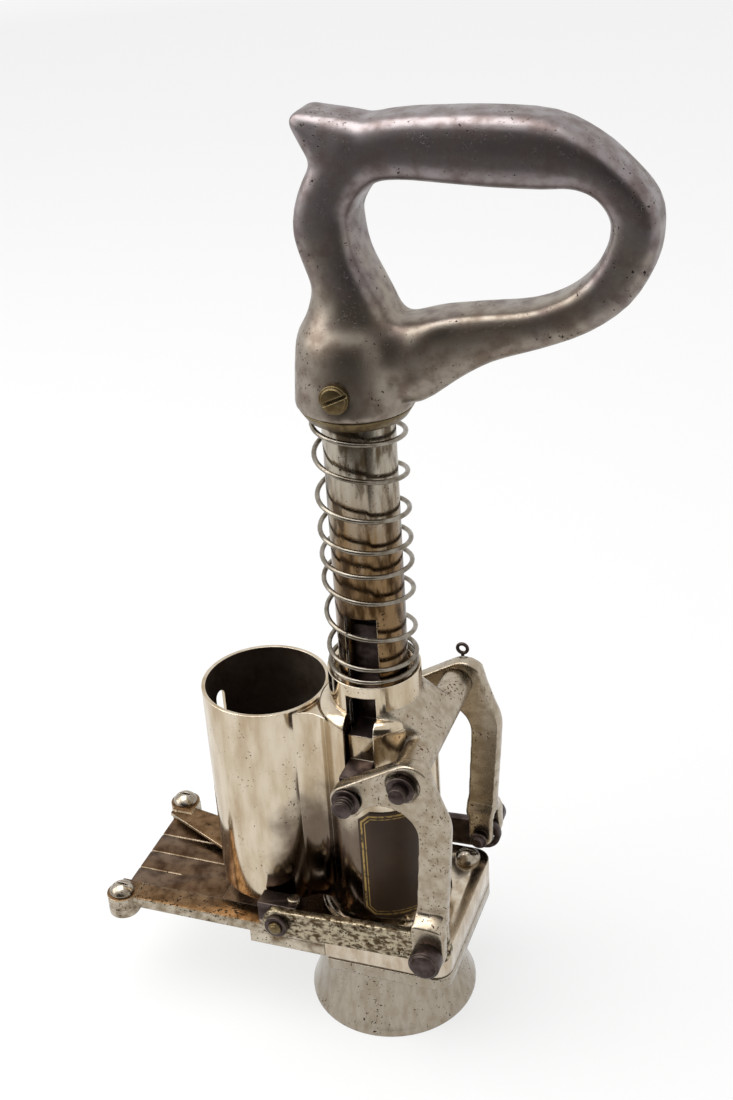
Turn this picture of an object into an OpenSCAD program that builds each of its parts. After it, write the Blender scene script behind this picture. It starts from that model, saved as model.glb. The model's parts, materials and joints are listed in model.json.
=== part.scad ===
// Lever-fed milk bottle capper, drawn standing on its bell. Millimetres, +Z up.
// The plunger runs along the Z axis and the bell rim stands on Z = 0.
// The cap magazine stands toward -X, the hand grip reaches toward +X, the front is -Y.
// At rest the handle is up, the levers hang and the feed slide is home under the plunger.

/* [Caps] */
// Diameter of the paper discs
cap_d = 44.5; // [42:0.1:48]
// Room round a disc in the magazine and the feed channel
cap_play = 0.8; // [0.5:0.05:1.2]
// Distance from the plunger axis to the magazine axis
mag_pitch = 44.8; // [44.4:0.1:50]
// Height of the magazine tube
mag_h = 88.7; // [70:0.1:95]
// Wall of the magazine tube
mag_wall = 1.4; // [1:0.1:2.4]
// Width of the sight slot in the magazine wall
sight_w = 5.5; // [3:0.1:8]
// Direction the sight slot faces, counted from +X
sight_angle = 168; // [150:1:180]

/* [Bell] */
// Outer radius of the bell rim
rim_r = 33.5; // [33:0.1:38]
// Height of the flared bell
bell_h = 30.4; // [28:0.1:36]
// Outer radius of the bell under its flange
bell_top_r = 28.2; // [28:0.1:29.5]
// Radius of the seat that centres a bottle lip
lip_r = 26.3; // [25:0.1:26.6]
// Height of the bottle stop above the rim
lip_stop_z = 20; // [17:0.1:22]
// Thickness of the square flange on the bell
flange_t = 6; // [4:0.1:8]

/* [Base] */
// Width of each feed rail
rail_w = 9.3; // [8.5:0.1:12]
// Thickness of each feed rail
rail_t = 4.5; // [4:0.1:6]
// Thickness of the bed plate under the feed slide
bed_t = 5.6; // [5:0.1:9]
// Reach of the base block to the right of the plunger axis
base_right = 34; // [32:0.1:36]
// Radius of the round shoulder that carries the barrel
shoulder_r = 26.5; // [26.2:0.1:28]
// Radius of the right hand corners
corner_r = 7; // [2:0.1:9]
// Diameter of the domed screw heads
dome_d = 10.2; // [8:0.1:11]
// Diameter of the screw shanks
shank_d = 4.8; // [3:0.1:5.5]

/* [Barrel and plunger] */
// Outer diameter of the plunger tube
tube_d = 25.4; // [23:0.1:26]
// Wall of the plunger tube
tube_wall = 1.6; // [1.2:0.1:2.5]
// Height of the barrel from the base to its shoulder
barrel_h = 94; // [88:0.1:108]
// Height of the neck above the shoulder
neck_h = 13; // [10:0.1:18]
// Wall of the barrel round the pressing pad
barrel_wall = 1.5; // [1.2:0.1:2.5]
// Working stroke of the plunger
stroke = 30; // [24:0.5:31]
// Free length of the spring as fitted
spring_len = 101; // [90:0.5:120]
// Wire of the main spring
wire_d = 1.8; // [1.4:0.1:2.4]
// Number of turns in the main spring
spring_turns = 9; // [7:0.5:10]

/* [Handle] */
// Height of the handle above its socket face
grip_h = 99; // [90:0.5:108]
// Reach of the grip loop from the plunger axis
grip_reach = 101; // [92:0.5:108]
// Wall of the socket round the plunger tube
socket_wall = 8.1; // [7:0.1:10]
// Height of the straight part of the socket
socket_h = 19; // [17:0.1:22]
// Thickness of the collar under the socket
collar_t = 4; // [3:0.1:6]
// Diameter of the socket screw head
socket_screw_d = 10; // [8:0.1:11]

/* [Levers and links] */
// Thickness of each lever plate
lever_t = 6; // [5:0.1:8]
// Rise from the slide pin to the link pin
link_rise = 4.5; // [3:0.1:6]
// Offset of the link pin to the right of the pivot
link_pin_dx = 8.3; // [6:0.1:9]
// Drop from the pivot to the crosshead pin
cross_drop = 10.5; // [9.5:0.1:11.5]
// Diameter of the pivot shaft
pivot_d = 6.4; // [5:0.1:7]
// Diameter of the crosshead studs where the levers ride on them
stud_d = 5; // [4:0.1:6]
// Diameter of the link pins
link_pin_d = 4.5; // [4:0.1:5]
// Thickness of each link
link_t = 3.5; // [3:0.1:5]
// Slack of the eye that each link hangs on its lever by
link_slack = 2.3; // [2.3:0.1:2.6]
// Diameter of the slide pins
slide_pin_d = 5.2; // [4.5:0.1:5.4]

/* [Fits] */
// Radial clearance of turning and sliding fits
run_fit = 0.05; // [0.03:0.01:0.08]
// Clear gap between neighbours that move past each other
move_gap = 0.3; // [0.3:0.05:0.4]
// Gap between fixed pieces that stand side by side
seat_gap = 0.1; // [0.05:0.05:0.2]

/* [Shown piece] */
// Name of the node to draw, or all of them

/* [Hidden] */
$fn = 64;
// Extra depth that carries a cut clear of the faces it opens
cut = 1;

// Radii about the plunger axis
mag_bore_r = cap_d / 2 + cap_play;
mag_r = mag_bore_r + mag_wall;
mag_relief_r = mag_bore_r + 0.5;
pad_r = cap_d / 2 - 1.75;
chamber_r = pad_r + move_gap;
barrel_r = chamber_r + barrel_wall;
cap_hole_r = pad_r + 1.3;
throat_r = cap_hole_r + 0.5;
tube_r = tube_d / 2;
guide_r = tube_r + run_fit;
bore_r = tube_r + 1.3;
neck_r = tube_r + 4.6;
socket_r = tube_r + socket_wall;
mouth_r = rim_r - 2;
flange_r = rim_r - 3.5;

// Heights, from the rim upward
mouth_h = 2.5;
lip_seat_z = 9;
base_z = bell_h + flange_t;
bed_z = base_z + bed_t;
rail_z = bed_z + rail_t;
roof_t = 1.5;
foot_z = rail_z + roof_t;
mag_z = rail_z + 4.8;
mag_top_z = mag_z + mag_h;
barrel_top_z = foot_z + barrel_h;
seat_z = barrel_top_z + neck_h;
collar_z = seat_z + spring_len;
socket_z = collar_z + collar_t;
pad_z = foot_z - 0.5;
pad_t = 8;
tube_z = pad_z + pad_t;
tube_top_z = socket_z + 28;

// Widths, from the middle plane outward
chan_w = cap_d / 2 + cap_play - 0.05;
base_w = chan_w + rail_w;
lever_in = base_w - 1.3;
lever_out = lever_in + lever_t;
link_in = base_w + 0.8;
link_out = link_in + link_t;
lug_in = link_out + 0.4;
lug_t = 5;
lug_out = lug_in + lug_t;
cheek_out = link_in - 0.4;
cheek_in = cheek_out - 3.4;
block_in = mag_r + 0.8;
block_out = base_w + 0.5;

// Base layout
base_left = 16;
bed_left = 107;
bed_step_x = 47.5;
ear_x = 104;
ear_r = 6.2;
dome_h = 4.2;
tray_w = chan_w + 1.6;
ear_y = base_w - 2;
ear_t = rail_t + 0.5;
tray_z = base_z + 1.5;
base_screw_x = base_right - 8.5;
base_screw_y = base_w - 7.2;

// Linkage points as [x, z]
pivot = [barrel_r - 0.8, barrel_top_z - 12.5];
cross_pin = [0, pivot[1] - cross_drop];
slide_pin = [-33, rail_z + 6];
link_pin = [pivot[0] + link_pin_dx, slide_pin[1] + link_rise];
// The hanging eye sits lower than its pin so that the slack is shared over the travel
eye_drop = link_slack - move_gap;
eye_r = link_pin_d / 2 + link_slack;

// Crosshead
cross_half = 4.9;
cross_slot_half = cross_half + 0.85;
cross_rise = 14.9;
cross_low_z = cross_pin[1] - 5;
cross_mid_z = cross_pin[1] + 5;
cross_top_z = cross_pin[1] + 15.5;
cross_block_w = neck_r + 1.2;
cross_post_w = tube_r / 2;
cross_post_z = seat_z + 20;
bar_r = 6.2;

// Feed slide
slide_z = bed_z + move_gap;
slide_t = 2.5;
slide_left = 64;
slide_right = 14;
slide_w = chan_w - 0.5;
wing_t = 2.4;
wing_z = rail_z + move_gap;
wing_x = [-42.5, -26.8];
wing_in = slide_w - 2;
block_z = wing_z + wing_t;
block_top_z = slide_pin[1] + 5.5;
slide_screw_x = -28.6;

// Grip centre line: x and z from the socket centre, half thickness, half width
grip_scale = [grip_reach / 101, grip_h / 99];
grip_stations = [
    [2.9, 31.3, 13.8, 12.4],
    [2, 35, 12.9, 12.2],
    [0.2, 42, 10.4, 12.0],
    [-3.2, 50, 10, 11.8],
    [-5.3, 60, 10.2, 11.6],
    [-4.2, 69, 9.5, 11.3],
    [1.2, 78.6, 9.6, 11.1],
    [9.5, 85.2, 9.8, 11.0],
    [20, 87.3, 10.0, 10.9],
    [34, 87.6, 10.7, 10.9],
    [49, 87.5, 11.3, 10.9],
    [66, 86.9, 10.9, 10.6],
    [77.5, 84.2, 8.3, 10.0],
    [86, 78.9, 6.8, 9.5],
    [92.1, 71.3, 7.5, 9.2],
    [93.2, 64, 7.6, 9.0],
    [91.5, 56, 7.8, 8.9],
    [86, 46.4, 7.7, 8.8],
    [76, 38, 7.1, 8.8],
    [62.6, 32.2, 7.1, 9.0],
    [46.5, 28.2, 8.8, 9.4],
    [32.5, 23.4, 11.8, 10.2],
    [20, 17.5, 14.2, 11.8],
    [12.6, 14.9, 13.1, 11.7]];
grip_steps = 3;
grip_sides = 24;

// A point between p1 and p2 on a smooth curve through four stations
function curve_point(p0, p1, p2, p3, t) =
    0.5 * (2 * p1 + (p2 - p0) * t + (2 * p0 - 5 * p1 + 4 * p2 - p3) * t * t
        + (3 * p1 - p0 - 3 * p2 + p3) * t * t * t);

// The whole smooth curve, n points to each span of the stations
function smooth_path(s, n) = concat(
    [for (i = [0 : len(s) - 2]) for (k = [0 : n - 1])
        curve_point(s[max(i - 1, 0)], s[i], s[i + 1], s[min(i + 2, len(s) - 1)], k / n)],
    [s[len(s) - 1]]);

// Direction of a curve at point i, in the XZ plane
function path_turn(p, i) = let (a = p[max(i - 1, 0)], b = p[min(i + 1, len(p) - 1)],
    d = [b[0] - a[0], b[1] - a[1]]) d / norm(d);

// Sine or cosine pushed outward, which makes a ring of points squarer than an ellipse
function squared(v) = sign(v) * pow(abs(v), 0.64);

// Two triangles for every side of a skin of n rings, then the two end caps
function skin_faces(n, m) = concat(
    [for (i = [0 : n - 2]) for (k = [0 : m - 1]) [i * m + k, i * m + (k + 1) % m, (i + 1) * m + k]],
    [for (i = [0 : n - 2]) for (k = [0 : m - 1])
        [i * m + (k + 1) % m, (i + 1) * m + (k + 1) % m, (i + 1) * m + k]],
    [for (k = [1 : m - 2]) [0, k + 1, k]],
    [for (k = [1 : m - 2]) [(n - 1) * m, (n - 1) * m + k, (n - 1) * m + k + 1]]);

// A rod along Y at [x, z], from y0 to y1 in front of the middle plane
module rod(p, y0, y1, r) {
    translate([p[0], -y0, p[1]])
        rotate([90, 0, 0])
            cylinder(h = y1 - y0, r = r);
}

// A plate drawn in the XZ plane, standing from y0 outward in front of the middle plane
module plate(y0, t) {
    translate([0, -y0, 0])
        rotate([90, 0, 0])
            linear_extrude(t)
                children();
}

// The front piece and its mirror image at the rear
module both() {
    children();
    mirror([0, 1, 0])
        children();
}

// A slotted screw with a domed head standing on z, and a shank reaching down
module dome_screw(x, y, z, shank_len) {
    edge = 1;
    slot_w = 1.2;
    slot_deep = 1.3;
    dome_r = dome_d / 2;
    ball_r = (dome_r * dome_r + pow(dome_h - edge, 2)) / (2 * (dome_h - edge));
    translate([x, y, z])
        difference() {
            union() {
                cylinder(h = edge, d = dome_d);
                intersection() {
                    translate([0, 0, dome_h - ball_r])
                        sphere(ball_r);
                    translate([0, 0, edge / 2])
                        cylinder(h = dome_h, d = dome_d);
                }
                translate([0, 0, -shank_len])
                    cylinder(h = shank_len + edge / 2, d = shank_d - 2 * run_fit);
            }
            translate([-dome_d, -slot_w / 2, dome_h - slot_deep])
                cube([2 * dome_d, slot_w, slot_deep + cut]);
        }
}

// Outline of the base seen from above, square at the left and rounded at the right
module base_outline(left, inset = 0) {
    half = base_w - inset;
    right = base_right - inset;
    round_r = corner_r - inset;
    translate([-left, -half])
        square([left + right - round_r, 2 * half]);
    translate([-left, round_r - half])
        square([left + right, 2 * (half - round_r)]);
    for (s = [-1, 1])
        translate([right - round_r, s * (half - round_r)])
            circle(round_r);
}

// Holes for the two base screws, from z upward
module base_screw_holes(z, h) {
    for (s = [-1, 1])
        translate([base_screw_x, s * base_screw_y, z])
            cylinder(h = h, d = shank_d);
}

// Flared bell that drops over the bottle neck, with its flange and the groove under the base block
module bell() {
    lip_t = 1.2;
    groove_h = 0.9;
    groove_in = 0.9;
    outer = [for (t = [0 : 0.1 : 1])
        [bell_top_r + (rim_r - bell_top_r) * pow(1 - t, 2.4), lip_t + (bell_h - lip_t) * t]];
    color("silver")
        difference() {
            union() {
                rotate_extrude()
                    polygon(concat([[0, 0], [rim_r, 0]], outer, [[0, bell_h]]));
                translate([0, 0, bell_h])
                    linear_extrude(flange_t - groove_h) {
                        circle(flange_r);
                        base_outline(base_left - 1);
                    }
                translate([0, 0, bell_h])
                    linear_extrude(flange_t) {
                        circle(flange_r - groove_in);
                        base_outline(base_left - 1 - groove_in, groove_in);
                    }
            }
            rotate_extrude()
                polygon([[0, -cut], [mouth_r, -cut], [mouth_r, mouth_h], [lip_r, lip_seat_z],
                    [lip_r, lip_stop_z], [throat_r, lip_stop_z], [throat_r, base_z + cut],
                    [0, base_z + cut]]);
            base_screw_holes(bell_h - cut, flange_t + 2 * cut);
        }
}

// Block that carries the barrel and roofs the end of the feed channel
module base_block() {
    color("silver")
        difference() {
            translate([0, 0, base_z])
                linear_extrude(foot_z - base_z) {
                    circle(shoulder_r);
                    base_outline(base_left);
                }
            translate([0, 0, base_z - cut])
                cylinder(h = bed_t + 2 * cut, r = cap_hole_r);
            translate([0, 0, bed_z]) {
                cylinder(h = rail_t, r = chan_w);
                translate([-2 * base_left, -chan_w, 0])
                    cube([2 * base_left, 2 * chan_w, rail_t]);
            }
            translate([0, 0, bed_z + cut])
                cylinder(h = rail_t + roof_t, r = barrel_r + run_fit);
            translate([-mag_pitch, 0, bed_z])
                cylinder(h = rail_t + roof_t + cut, r = mag_relief_r);
            base_screw_holes(base_z - cut, foot_z - base_z + 2 * cut);
        }
}

// Domed screws through the block and the flange
module base_screws() {
    color("lightgray")
        for (s = [-1, 1])
            dome_screw(base_screw_x, s * base_screw_y, foot_z, foot_z - bell_h);
}

// Bed plate the feed slide runs on, reaching out to the left as a tray
module bed_plate() {
    score = [[12.2, 60], [1.1, 62], [-9.7, 88]];
    score_w = 0.8;
    score_deep = 0.4;
    color("tan")
        difference() {
            union() {
                translate([-bed_left, -tray_w, tray_z])
                    cube([bed_left - bed_step_x + cut, 2 * tray_w, bed_z - tray_z]);
                translate([-bed_step_x, -base_w, base_z])
                    cube([bed_step_x - base_left - seat_gap, 2 * base_w, bed_t]);
                for (s = [-1, 1])
                    translate([-ear_x, s * ear_y, tray_z])
                        cylinder(h = bed_z - tray_z, r = ear_r);
                translate([-bed_left, -ear_y, tray_z])
                    cube([bed_left - ear_x + ear_r, 2 * ear_y, bed_z - tray_z]);
            }
            translate([0, 0, base_z - cut])
                cylinder(h = bed_t + 2 * cut, r = shoulder_r + seat_gap);
            for (s = score)
                translate([-bed_left - 2 * ear_r, s[0] - score_w / 2, bed_z - score_deep])
                    cube([bed_left + 2 * ear_r - s[1], score_w, 2 * score_deep]);
            rail_screw_holes(tray_z - cut, bed_z - tray_z + 2 * cut);
        }
}

// Holes for the two rail screws, from z upward
module rail_screw_holes(z, h) {
    for (s = [-1, 1])
        translate([-ear_x, s * ear_y, z])
            cylinder(h = h, d = shank_d);
}

// Rail along one side of the feed channel, with a screw ear at its outer end
module rail() {
    translate([0, 0, bed_z]) {
        translate([-bed_left, -base_w, 0])
            cube([bed_left - base_left - seat_gap, rail_w, rail_t]);
        translate([-ear_x, -ear_y, 0])
            cylinder(h = ear_t, r = ear_r);
        translate([-bed_left, -ear_y, 0])
            cube([bed_left - ear_x + ear_r, ear_y - chan_w, ear_t]);
    }
}

// Rail on the near side
module front_rail() {
    color("goldenrod")
        difference() {
            rail();
            rail_screw_holes(bed_z - cut, ear_t + 2 * cut);
        }
}

// Rail on the far side, with a notch outside and a slanting guide over the end of the slide
module rear_rail() {
    notch_x = [ear_x - ear_r, 84];
    notch_y = [base_w - 4.8, chan_w + 1.8];
    guide_x = [ear_x + 3, 86, 74];
    guide_y = [chan_w - 1.5, 5.5, 15];
    guide_z = slide_z + slide_t + move_gap;
    color("goldenrod")
        difference() {
            union() {
                mirror([0, 1, 0])
                    rail();
                translate([0, 0, guide_z])
                    linear_extrude(rail_z - guide_z)
                        polygon([[-guide_x[0], chan_w + 1], [-guide_x[0], guide_y[0]],
                            [-guide_x[2], guide_y[1]], [-guide_x[2], guide_y[2]], [-guide_x[1], chan_w + 1]]);
            }
            translate([0, 0, bed_z - cut])
                linear_extrude(rail_t + 2 * cut)
                    polygon([[-notch_x[0], base_w + cut], [-notch_x[0], notch_y[0]],
                        [-notch_x[1], notch_y[1]], [-notch_x[1], base_w + cut]]);
            rail_screw_holes(bed_z - cut, ear_t + 2 * cut);
        }
}

// Domed screws that hold the outer ends of the rails
module rail_screws() {
    color("lightgray")
        for (s = [-1, 1])
            dome_screw(-ear_x, s * ear_y, bed_z + ear_t, bed_z + ear_t - tray_z);
}

// Casting of magazine tube, plunger barrel and pivot bar in one piece
module body() {
    foot_r = barrel_r + 3;
    foot_h = 6;
    round_r = barrel_r - neck_r;
    // Fillet that touches both tubes, its centre found from the two radii
    web_r = 10;
    web_far = mag_r + web_r;
    web_near = barrel_r + web_r;
    web_x = (mag_pitch * mag_pitch + web_near * web_near - web_far * web_far) / (2 * mag_pitch);
    web_y = sqrt(web_near * web_near - web_x * web_x);
    web_top_z = mag_top_z - 1.5;
    web_in = 0.97;
    chamber_top_z = foot_z + 32;
    guide_z = seat_z - 10;
    mouth_z = seat_z - 6;
    neck_bore_r = tube_r + 2.2;
    yoke_half = 14;
    yoke_low_z = pivot[1] + 4;
    foot = [for (a = [0 : 15 : 90]) [foot_r - (foot_r - barrel_r) * sin(a), foot_z + foot_h * (1 - cos(a))]];
    crown = [for (a = [0 : 15 : 90])
        [neck_r + round_r * cos(a), barrel_top_z - round_r + round_r * sin(a)]];
    color("gainsboro")
        difference() {
            union() {
                rotate_extrude()
                    polygon(concat([[0, rail_z + seat_gap], [barrel_r, rail_z + seat_gap],
                        [barrel_r, foot_z]], foot, crown, [[neck_r, seat_z], [0, seat_z]]));
                translate([-mag_pitch, 0, mag_z])
                    cylinder(h = mag_h, r = mag_r);
                translate([0, 0, mag_z])
                    linear_extrude(web_top_z - mag_z)
                        difference() {
                            polygon([for (c = [[-mag_pitch, mag_r / web_far, 1], [0, barrel_r / web_near, 1],
                                [0, barrel_r / web_near, -1], [-mag_pitch, mag_r / web_far, -1]])
                                [c[0] + web_in * c[1] * (-web_x - c[0]), web_in * c[1] * c[2] * web_y]]);
                            for (k = [-1, 1])
                                translate([-web_x, k * web_y])
                                    circle(web_r);
                        }
                rod(pivot, -lever_in + 0.4, lever_in - 0.4, bar_r);
                hull() {
                    translate([0, 0, yoke_low_z])
                        cylinder(h = barrel_top_z + 3 - yoke_low_z, r = neck_r - 0.5);
                    rod(pivot, -yoke_half, yoke_half, bar_r);
                }
            }
            translate([0, 0, rail_z])
                cylinder(h = chamber_top_z - rail_z, r = chamber_r);
            translate([0, 0, chamber_top_z - cut])
                cylinder(h = guide_z - chamber_top_z + cut, r = bore_r);
            translate([0, 0, guide_z - cut])
                cylinder(h = mouth_z - guide_z + 2 * cut, r = guide_r);
            translate([0, 0, mouth_z])
                cylinder(h = seat_z - mouth_z + cut, r = neck_bore_r);
            translate([-mag_pitch, 0, rail_z])
                cylinder(h = mag_z - rail_z, r = mag_relief_r);
            translate([-mag_pitch, 0, mag_z - cut])
                cylinder(h = mag_h + 2 * cut, r = mag_bore_r);
            translate([-cross_slot_half, -base_w, cross_low_z - 1])
                cube([2 * cross_slot_half, 2 * base_w, cross_top_z + cross_rise + 2 - cross_low_z]);
            sight_slot();
            rod(pivot, -base_w - cut, base_w + cut, pivot_d / 2);
        }
}

// Upright slot that shows how many discs are left
module sight_slot() {
    translate([-mag_pitch, 0, 0])
        rotate([0, 0, sight_angle])
            translate([0, -sight_w / 2, 0]) {
                translate([mag_bore_r / 2, 0, mag_z + 8])
                    cube([mag_r, sight_w, mag_h - 23]);
                translate([mag_bore_r / 2, sight_w / 2, mag_z + mag_h - 15])
                    rotate([0, 90, 0])
                        cylinder(h = mag_r, d = sight_w);
            }
}

// Thin plate with cut corners, wrapped round the lower barrel
module label_plate() {
    plate_t = 0.5;
    facing = 29;
    low_z = foot_z + 4.7;
    high_z = low_z + 50.3;
    half = 0.57 * barrel_r;
    trim = 4;
    in_r = barrel_r + run_fit;
    color("saddlebrown")
        rotate([0, 0, facing])
            intersection() {
                difference() {
                    cylinder(h = high_z + cut, r = in_r + plate_t);
                    translate([0, 0, -cut])
                        cylinder(h = high_z + 3 * cut, r = in_r);
                }
                plate(0, 2 * barrel_r)
                    polygon([[-half, low_z + trim], [trim - half, low_z], [half - trim, low_z],
                        [half, low_z + trim], [half, high_z - trim], [half - trim, high_z],
                        [trim - half, high_z], [-half, high_z - trim]]);
            }
}

// Shaft through the pivot bar, grooved at both ends
module pivot_shaft() {
    end_y = lever_out + 6;
    groove_y = lever_out + 1.6;
    color("dimgray")
        difference() {
            rod(pivot, -end_y, end_y, pivot_d / 2 - run_fit);
            groove(pivot, groove_y);
            translate([pivot[0], groove_y + 1.6, pivot[1] - pivot_d])
                cylinder(h = 2 * pivot_d, d = 1.6);
        }
}

// Ring shaped groove round a rod end in front of the middle plane
module groove(p, y) {
    difference() {
        rod(p, y - 0.6, y + 0.6, pivot_d);
        rod(p, y - 0.6 - cut, y + 0.6 + cut, pivot_d / 2 - 0.7);
    }
}

// Split pin through the rear end of the pivot shaft, with its eye on top
module pivot_cotter() {
    pin_r = 0.7;
    eye_ring_r = 2;
    reach = 8;
    color("silver")
        translate([pivot[0], lever_out + 3.2, pivot[1]]) {
            translate([0, 0, -reach])
                cylinder(h = 2 * reach, r = pin_r);
            translate([0, 0, reach + eye_ring_r])
                rotate([90, 0, 0])
                    rotate_extrude()
                        translate([eye_ring_r, 0])
                            circle(pin_r);
        }
}

// Spring clip in the front groove of the pivot shaft
module pivot_clip() {
    color("dimgray")
        difference() {
            rod(pivot, lever_out + 1.1, lever_out + 2.1, pivot_d / 2 + 2);
            rod(pivot, lever_out, lever_out + 3, pivot_d / 2 - 0.65);
            translate([pivot[0] - 1.5, -lever_out - 3, pivot[1] - 2 * pivot_d])
                cube([3, 3, 2 * pivot_d]);
        }
}

// Share of the height that the wire has climbed at the share u of its length, through the coil marks
function spring_rise(u) = let (last = len(coil_marks) - 1, i = min(floor(u * last), last - 1))
    curve_point(coil_marks[max(i - 1, 0)], coil_marks[i], coil_marks[i + 1],
        coil_marks[min(i + 2, last)], u * last - i);

// Compression spring between the neck and the collar, wound left-handed
module main_spring() {
    color("silver")
        polyhedron(points = [for (ring = spring_rings) each ring],
            faces = skin_faces(len(spring_rings), spring_sides), convexity = 10);
}
// Height at the end of each equal stretch of the wire, as a share: the old coils lie unevenly
coil_marks = [0, 0.027, 0.118, 0.278, 0.404, 0.495, 0.609, 0.747, 0.908, 1];
spring_sides = 6;
rings_per_turn = 8;
coil_r = tube_r + 3.2;
spring_steps = spring_turns * rings_per_turn;
// Centre of the wire at each step, with a straight run of one wire at both ends
spring_wire = concat(
    [spring_at(0) - wire_d * spring_way(0)],
    [for (i = [0 : spring_steps]) spring_at(i / spring_steps)],
    [spring_at(1) + wire_d * spring_way(1)]);
spring_rings = [for (i = [0 : len(spring_wire) - 1])
    let (way = wire_way(i), out = wire_out(i), up = cross(way, out))
        [for (k = [0 : spring_sides - 1]) spring_wire[i]
            + wire_d / 2 * (cos(360 * k / spring_sides) * out + sin(360 * k / spring_sides) * up)]];
// Least distance between wire centres half a turn or more apart, less the wire
spring_gap = min([for (i = [0 : len(spring_wire) - 5]) for (k = [i + 4 : len(spring_wire) - 1])
    norm(spring_wire[k] - spring_wire[i])]) - wire_d;
echo(spring_gap = spring_gap);

// Centre of the wire at the share u of its length
function spring_at(u) = let (a = 90 - 360 * spring_turns * u) [coil_r * cos(a), coil_r * sin(a),
    seat_z + wire_d / 2 + seat_gap + (spring_len - wire_d - 2 * seat_gap) * spring_rise(u)];

// Level direction of the wire at the share u of its length
function spring_way(u) = let (a = 90 - 360 * spring_turns * u) [sin(a), -cos(a), 0];

// Direction of the wire at a step, and the level direction across it
function wire_way(i) = let (a = spring_wire[max(i - 1, 0)],
    b = spring_wire[min(i + 1, len(spring_wire) - 1)]) (b - a) / norm(b - a);
function wire_out(i) = let (w = wire_way(i), f = [w[1], -w[0], 0]) f / norm(f);

// Tube that carries the pressing pad, slotted for the crosshead
module plunger_tube() {
    slot_low_z = cross_low_z - 8;
    slot_high_z = cross_top_z + cross_rise + stroke + 1.6;
    color("rosybrown")
        difference() {
            translate([0, 0, tube_z])
                cylinder(h = tube_top_z - tube_z, r = tube_r);
            translate([0, 0, tube_z - cut])
                cylinder(h = tube_top_z - tube_z + 2 * cut, r = tube_r - tube_wall);
            translate([-cross_slot_half - 0.25, -base_w, slot_low_z])
                cube([2 * cross_slot_half + 0.5, 2 * base_w, slot_high_z - slot_low_z]);
        }
}

// Pad that presses a disc into the bottle, with a spigot up the tube
module presser() {
    edge = 1.5;
    color("gray") {
        translate([0, 0, pad_z])
            rotate_extrude()
                polygon([[0, 0], [pad_r - edge, 0], [pad_r, edge], [pad_r, pad_t - edge],
                    [pad_r - edge, pad_t], [0, pad_t]]);
        translate([0, 0, pad_z + pad_t / 2])
            cylinder(h = pad_t / 2 + 18, r = tube_r - tube_wall - run_fit);
    }
}

// Cast grip: a closed loop drawn out of a round socket, with a horn for the thumb
module handle() {
    path = [for (p = smooth_path(grip_stations, grip_steps))
        [p[0] * grip_scale[0], socket_z + p[1] * grip_scale[1], p[2], p[3]]];
    skin = [for (i = [0 : len(path) - 1]) let (p = path[i], d = path_turn(path, i))
        for (k = [0 : grip_sides - 1]) let (a = 360 * k / grip_sides)
            [p[0] - d[1] * p[2] * squared(cos(a)), p[3] * squared(sin(a)),
                p[1] + d[0] * p[2] * squared(cos(a))]];
    socket_taper = 1.3;
    shoulder = [for (a = [0 : 15 : 90])
        [socket_r - socket_taper - 4.1 * (1 - cos(a)), socket_z + socket_h + 10 * sin(a)]];
    color("slategray")
        difference() {
            union() {
                polyhedron(points = skin, faces = skin_faces(len(path), grip_sides), convexity = 10);
                rotate_extrude()
                    polygon(concat([[0, socket_z], [socket_r - 1, socket_z], [socket_r, socket_z + 1]],
                        shoulder, [[10.5, socket_z + 46 * grip_scale[1]],
                        [0, socket_z + 46 * grip_scale[1]]]));
                grip_horn();
                grip_web();
            }
            translate([0, 0, socket_z - cut])
                cylinder(h = tube_top_z - socket_z + cut + run_fit, r = tube_r + run_fit);
            rod([0, socket_screw_z], tube_r - cut, socket_r + cut, 2.5 + run_fit);
            rod([0, socket_screw_z], socket_r - 1.3, socket_r + 2 * cut, socket_screw_d / 2 + 0.1);
        }
}
socket_screw_z = socket_z + 9;

// Lip across the upper left bend of the grip, a rest for the thumb that flows down into the arm
module grip_horn() {
    // Each place is [x, height above the socket, half spread in Y, ball radius]
    balls = [[-11.2, 94.6, 6, 3], [5, 88.6, 3.4, 7.6], [0.8, 81.5, 2.8, 8.2]];
    hull()
        for (b = balls)
            for (k = [-1, 1])
                translate([b[0] * grip_scale[0], k * b[2], socket_z + b[1] * grip_scale[1]])
                    sphere(b[3], $fn = 32);
}

// Web in the lower left corner of the finger gap, where the arm grows out of the lower bar
module grip_web() {
    // Each place is [x, height above the socket]
    places = [[9.1, 32.6], [14.9, 27.3]];
    half_y = 7.1;
    web_r = 4.3;
    hull()
        for (p = places)
            for (k = [-1, 1])
                translate([p[0] * grip_scale[0], k * half_y, socket_z + p[1] * grip_scale[1]])
                    sphere(web_r, $fn = 24);
}

// Tapered ring that the spring pushes up against
module handle_collar() {
    color("goldenrod")
        translate([0, 0, collar_z])
            difference() {
                cylinder(h = collar_t, r1 = neck_r + 0.2, r2 = socket_r - 0.8);
                translate([0, 0, -cut])
                    cylinder(h = collar_t + 2 * cut, r = tube_r + run_fit);
            }
}

// Slotted screw that holds the socket on the tube
module handle_screw() {
    head_in = socket_r - 1.3;
    head_t = 2.6;
    slot_w = 1.2;
    slot_turn = 25;
    color("goldenrod")
        difference() {
            union() {
                rod([0, socket_screw_z], tube_r + 0.1, head_in + cut, 2.5);
                rod([0, socket_screw_z], head_in, head_in + head_t - 0.6, socket_screw_d / 2);
                rod([0, socket_screw_z], head_in, head_in + head_t, socket_screw_d / 2 - 0.8);
            }
            translate([0, -head_in - head_t - cut, socket_screw_z])
                rotate([0, -slot_turn, 0])
                    translate([-socket_screw_d, 0, -slot_w / 2])
                        cube([2 * socket_screw_d, slot_w + cut, slot_w]);
        }
}

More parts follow.
